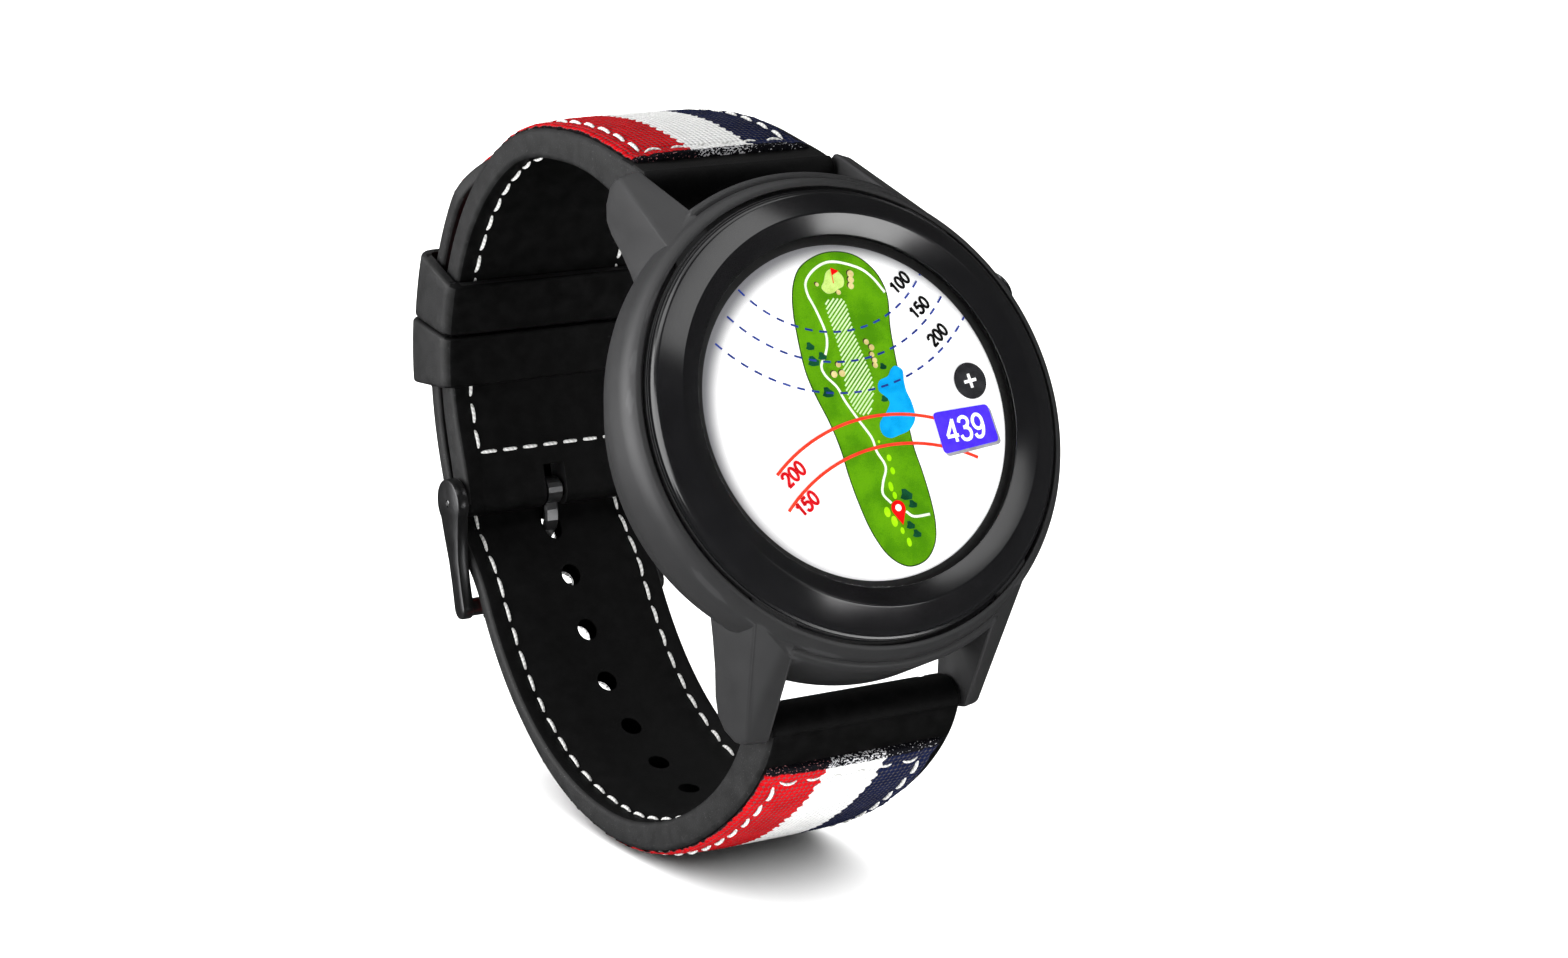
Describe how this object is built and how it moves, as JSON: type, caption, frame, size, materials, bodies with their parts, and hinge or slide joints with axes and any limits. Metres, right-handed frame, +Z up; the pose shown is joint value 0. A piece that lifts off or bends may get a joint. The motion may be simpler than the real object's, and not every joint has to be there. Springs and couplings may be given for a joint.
{
  "type": "golf GPS watch",
  "caption": "Round golf distance watch with a black case, white display, side button and a striped canvas-and-rubber strap closed by a tongue buckle and keepers.",
  "frame": {"origin": "centre of the bounding box at the level of the lowest point of the strap loop", "axes": "+X to 3 o'clock along the spring bars, +Y from the display to the back of the strap loop, +Z up; the display leans back from upright"},
  "size_m": [0.0484, 0.0835, 0.0745],
  "materials": {
    "case_black": "satin black coating",
    "bezel_gloss": "polished black",
    "clear_glass": "clear",
    "black_moulding": "matt",
    "display_white": "lit white dial",
    "steel": "fine brushed",
    "battery_foil": "foil wrap",
    "antenna_ceramic": "matt",
    "circuit_board": "solder mask",
    "gold_contact": "plated",
    "strap_rubber": "fine grained",
    "seal_rubber": "smooth",
    "strap_canvas": "striped canvas ribbon",
    "buckle_black": "satin black"
  },
  "bodies": {
    "watch": {"case_body": "case_black", "bezel_ring": "bezel_gloss", "cover_glass": "clear_glass", "lens_gasket": "seal_rubber", "display_mask": "black_moulding", "display_panel": "display_white", "display_bracket": "steel", "main_board": "circuit_board", "processor_shield": "steel", "gps_antenna": "antenna_ceramic", "battery": "battery_foil", "motor_can": "steel", "tact_switch": "black_moulding", "button_seal": "seal_rubber", "button_spring": "steel", "rear_cover": "case_black", "rear_gasket": "seal_rubber", "strap_short": "strap_rubber", "strap_short_fabric": "strap_canvas", "strap_long": "strap_rubber", "strap_long_fabric": "strap_canvas", "keeper_fixed": "strap_rubber", "rear_screw_1": "steel", "charge_contact_1": "gold_contact", "rear_screw_2": "steel", "charge_contact_2": "gold_contact", "rear_screw_3": "steel", "charge_contact_3": "gold_contact", "rear_screw_4": "steel", "charge_contact_4": "gold_contact", "upper_bar_tube": "steel", "upper_bar_spring": "steel", "lower_bar_tube": "steel", "lower_bar_spring": "steel", "buckle_bar_tube": "steel", "buckle_bar_spring": "steel"},
    "button": {"button_cap": "steel", "button_clip": "steel"},
    "switch_plunger": {"switch_plunger": "gold_contact"},
    "motor_rotor": {"motor_weight": "steel"},
    "buckle": {"buckle_frame": "buckle_black"},
    "tongue": {"buckle_tongue": "buckle_black"},
    "free_keeper": {"keeper_free": "strap_rubber"},
    "upper_bar_pin_left": {"upper_bar_pin_left": "steel"},
    "upper_bar_pin_right": {"upper_bar_pin_right": "steel"},
    "lower_bar_pin_left": {"lower_bar_pin_left": "steel"},
    "lower_bar_pin_right": {"lower_bar_pin_right": "steel"},
    "buckle_bar_pin_left": {"buckle_bar_pin_left": "steel"},
    "buckle_bar_pin_right": {"buckle_bar_pin_right": "steel"}
  },
  "joints": [
    {"name": "button_press", "type": "slide", "parent": "watch", "child": "button", "axis": [-0.891, -0.1933, -0.4108], "range_m": [0, 0.00035], "stiffness_N_per_m": 500, "springref_m": -0.0006},
    {"name": "switch_press", "type": "slide", "parent": "watch", "child": "switch_plunger", "axis": [-0.891, -0.1933, -0.4108], "range_m": [0, 0.00035]},
    {"name": "motor_spin", "type": "hinge", "parent": "watch", "child": "motor_rotor", "pos_m": [-0.0025, -0.03149, 0.03587], "axis": [1, 0, 0], "continuous": true},
    {"name": "buckle_hinge", "type": "hinge", "parent": "watch", "child": "buckle", "pos_m": [0, 0.03214, 0.02988], "axis": [1, 0, 0], "range_deg": [0, 3]},
    {"name": "tongue_hinge", "type": "hinge", "parent": "buckle", "child": "tongue", "pos_m": [0, 0.03214, 0.02988], "axis": [1, 0, 0], "range_deg": [0, 4]},
    {"name": "free_keeper_slide", "type": "hinge", "parent": "watch", "child": "free_keeper", "pos_m": [0, 0.00674, 0.04458], "axis": [1, 0, 0], "range_deg": [0, 22]},
    {"name": "upper_bar_pin_left_press", "type": "slide", "parent": "watch", "child": "upper_bar_pin_left", "axis": [1, 0, 0], "range_m": [0, 0.0013], "stiffness_N_per_m": 400, "springref_m": -0.001},
    {"name": "upper_bar_pin_right_press", "type": "slide", "parent": "watch", "child": "upper_bar_pin_right", "axis": [-1, 0, 0], "range_m": [0, 0.0013], "stiffness_N_per_m": 400, "springref_m": -0.001},
    {"name": "lower_bar_pin_left_press", "type": "slide", "parent": "watch", "child": "lower_bar_pin_left", "axis": [1, 0, 0], "range_m": [0, 0.0013], "stiffness_N_per_m": 400, "springref_m": -0.001},
    {"name": "lower_bar_pin_right_press", "type": "slide", "parent": "watch", "child": "lower_bar_pin_right", "axis": [-1, 0, 0], "range_m": [0, 0.0013], "stiffness_N_per_m": 400, "springref_m": -0.001},
    {"name": "buckle_bar_pin_left_press", "type": "slide", "parent": "watch", "child": "buckle_bar_pin_left", "axis": [1, 0, 0], "range_m": [0, 0.0014], "stiffness_N_per_m": 400, "springref_m": -0.001},
    {"name": "buckle_bar_pin_right_press", "type": "slide", "parent": "watch", "child": "buckle_bar_pin_right", "axis": [-1, 0, 0], "range_m": [0, 0.0014], "stiffness_N_per_m": 400, "springref_m": -0.001}
  ],
  "couplings": [
    {"joint": "switch_press", "follows": "button_press", "ratio": 1}
  ]
}
